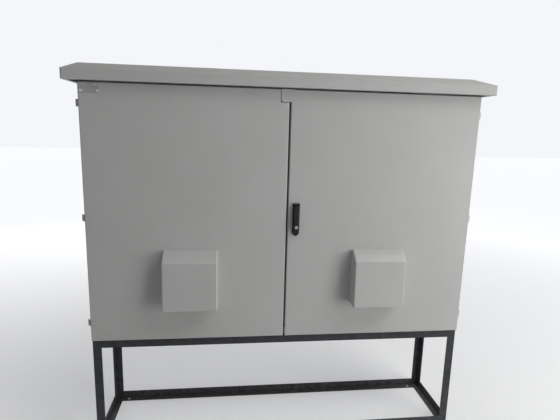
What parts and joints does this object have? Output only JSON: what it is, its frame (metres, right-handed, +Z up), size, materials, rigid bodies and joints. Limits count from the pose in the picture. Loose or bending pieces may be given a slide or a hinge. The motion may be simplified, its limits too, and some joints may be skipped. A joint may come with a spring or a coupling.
{
  "type": "roadside utility cabinet",
  "caption": "Two-door sheet-steel outdoor cabinet with a low gabled canopy, rain hoods over vents and a swing handle, on an angle-steel stand.",
  "frame": {"origin": "centre of the four floor anchor holes, on the underside of the stand", "axes": "+X to the right seen from the doors, +Y to the back, +Z up"},
  "size_m": [1.966, 0.514, 1.8582],
  "materials": {
    "cabinet_paint": "fine-textured pale grey powder coat",
    "stand_paint": "brushed-on black enamel over steel angle, scuffed",
    "black_zinc": "satin black coating on die-cast zinc",
    "zinc_steel": "bright zinc plate",
    "galvanised": "galvanised sheet",
    "brass_stud": "turned",
    "lock_chrome": "bright",
    "foam_rubber": "poured foam, matt",
    "seal_rubber": "extruded, matt",
    "grey_plastic": "moulded, fine texture",
    "black_plastic": "moulded",
    "filter_fleece": "coarse fleece",
    "guide_nylon": "natural nylon"
  },
  "bodies": {
    "cabinet": {"leg_front_left": "stand_paint", "leg_front_right": "stand_paint", "leg_rear_left": "stand_paint", "leg_rear_right": "stand_paint", "base_rail_front": "stand_paint", "base_rail_rear": "stand_paint", "base_rail_left": "stand_paint", "base_rail_right": "stand_paint", "top_rail_front": "stand_paint", "top_rail_rear": "stand_paint", "top_rail_left": "stand_paint", "top_rail_right": "stand_paint", "stand_bolts": "zinc_steel", "side_panel_left": "cabinet_paint", "side_panel_right": "cabinet_paint", "top_panel": "cabinet_paint", "bottom_panel": "cabinet_paint", "back_panel": "cabinet_paint", "canopy": "cabinet_paint", "canopy_support_left": "cabinet_paint", "canopy_support_right": "cabinet_paint", "gland_plate": "galvanised", "mounting_plate": "galvanised", "mounting_studs": "zinc_steel", "mounting_nuts": "zinc_steel", "earth_stud": "brass_stud", "hinge_frame_leaves": "cabinet_paint", "hinge_pins": "zinc_steel"},
    "left_door": {"left_door": "cabinet_paint", "left_hinge_leaves": "cabinet_paint", "left_door_gasket": "foam_rubber", "meeting_seal": "seal_rubber", "left_hood": "cabinet_paint", "left_grille": "grey_plastic", "left_filter_mat": "filter_fleece", "fan_housing": "black_plastic", "bolt_brackets": "galvanised"},
    "fan": {"fan_impeller": "black_plastic"},
    "left_top_bolt": {"left_top_bolt": "zinc_steel"},
    "left_bottom_bolt": {"left_bottom_bolt": "zinc_steel"},
    "right_door": {"right_door": "cabinet_paint", "right_hinge_leaves": "cabinet_paint", "right_door_gasket": "foam_rubber", "right_hood": "cabinet_paint", "right_grille": "grey_plastic", "right_filter_mat": "filter_fleece", "filter_retainer": "grey_plastic", "handle_base": "black_zinc", "lock_bracket": "galvanised", "gearbox_case": "galvanised", "gearbox_cover": "galvanised", "rod_guides": "guide_nylon"},
    "handle_hub": {"handle_hub": "black_zinc", "handle_spindle": "zinc_steel", "pinion": "zinc_steel"},
    "handle_lever": {"handle_lever": "black_zinc", "lever_pin": "zinc_steel"},
    "lock_cylinder": {"lock_cylinder": "lock_chrome"},
    "top_rod": {"top_rod": "zinc_steel"},
    "bottom_rod": {"bottom_rod": "zinc_steel"}
  },
  "joints": [
    {"name": "left_door_hinge", "type": "hinge", "parent": "cabinet", "child": "left_door", "pos_m": [-0.9345, -0.175, 1.155], "axis": [0, 0, -1], "range_deg": [0, 120]},
    {"name": "right_door_hinge", "type": "hinge", "parent": "cabinet", "child": "right_door", "pos_m": [0.9345, -0.175, 1.155], "axis": [0, 0, 1], "range_deg": [0, 120]},
    {"name": "fan_spin", "type": "hinge", "parent": "left_door", "child": "fan", "pos_m": [-0.455, -0.165, 0.855], "axis": [0, 1, 0], "continuous": true},
    {"name": "left_top_bolt_slide", "type": "slide", "parent": "left_door", "child": "left_top_bolt", "axis": [0, 0, 1], "range_m": [0, 0.022]},
    {"name": "left_bottom_bolt_slide", "type": "slide", "parent": "left_door", "child": "left_bottom_bolt", "axis": [0, 0, -1], "range_m": [0, 0.022]},
    {"name": "handle_turn", "type": "hinge", "parent": "right_door", "child": "handle_hub", "pos_m": [0.0425, -0.2, 1.211], "axis": [0, -1, 0], "range_deg": [0, 90]},
    {"name": "handle_lift", "type": "hinge", "parent": "handle_hub", "child": "handle_lever", "pos_m": [0.0425, -0.2165, 1.211], "axis": [-1, 0, 0], "range_deg": [0, 40]},
    {"name": "key_turn", "type": "hinge", "parent": "handle_lever", "child": "lock_cylinder", "pos_m": [0.0425, -0.2175, 1.118], "axis": [0, -1, 0], "range_deg": [0, 90]},
    {"name": "top_rod_slide", "type": "slide", "parent": "right_door", "child": "top_rod", "axis": [0, 0, -1], "range_m": [0, 0.01885]},
    {"name": "bottom_rod_slide", "type": "slide", "parent": "right_door", "child": "bottom_rod", "axis": [0, 0, 1], "range_m": [0, 0.01885]}
  ],
  "couplings": [
    {"joint": "top_rod_slide", "follows": "handle_turn", "m_per_rad": 0.012},
    {"joint": "bottom_rod_slide", "follows": "handle_turn", "m_per_rad": 0.012}
  ]
}
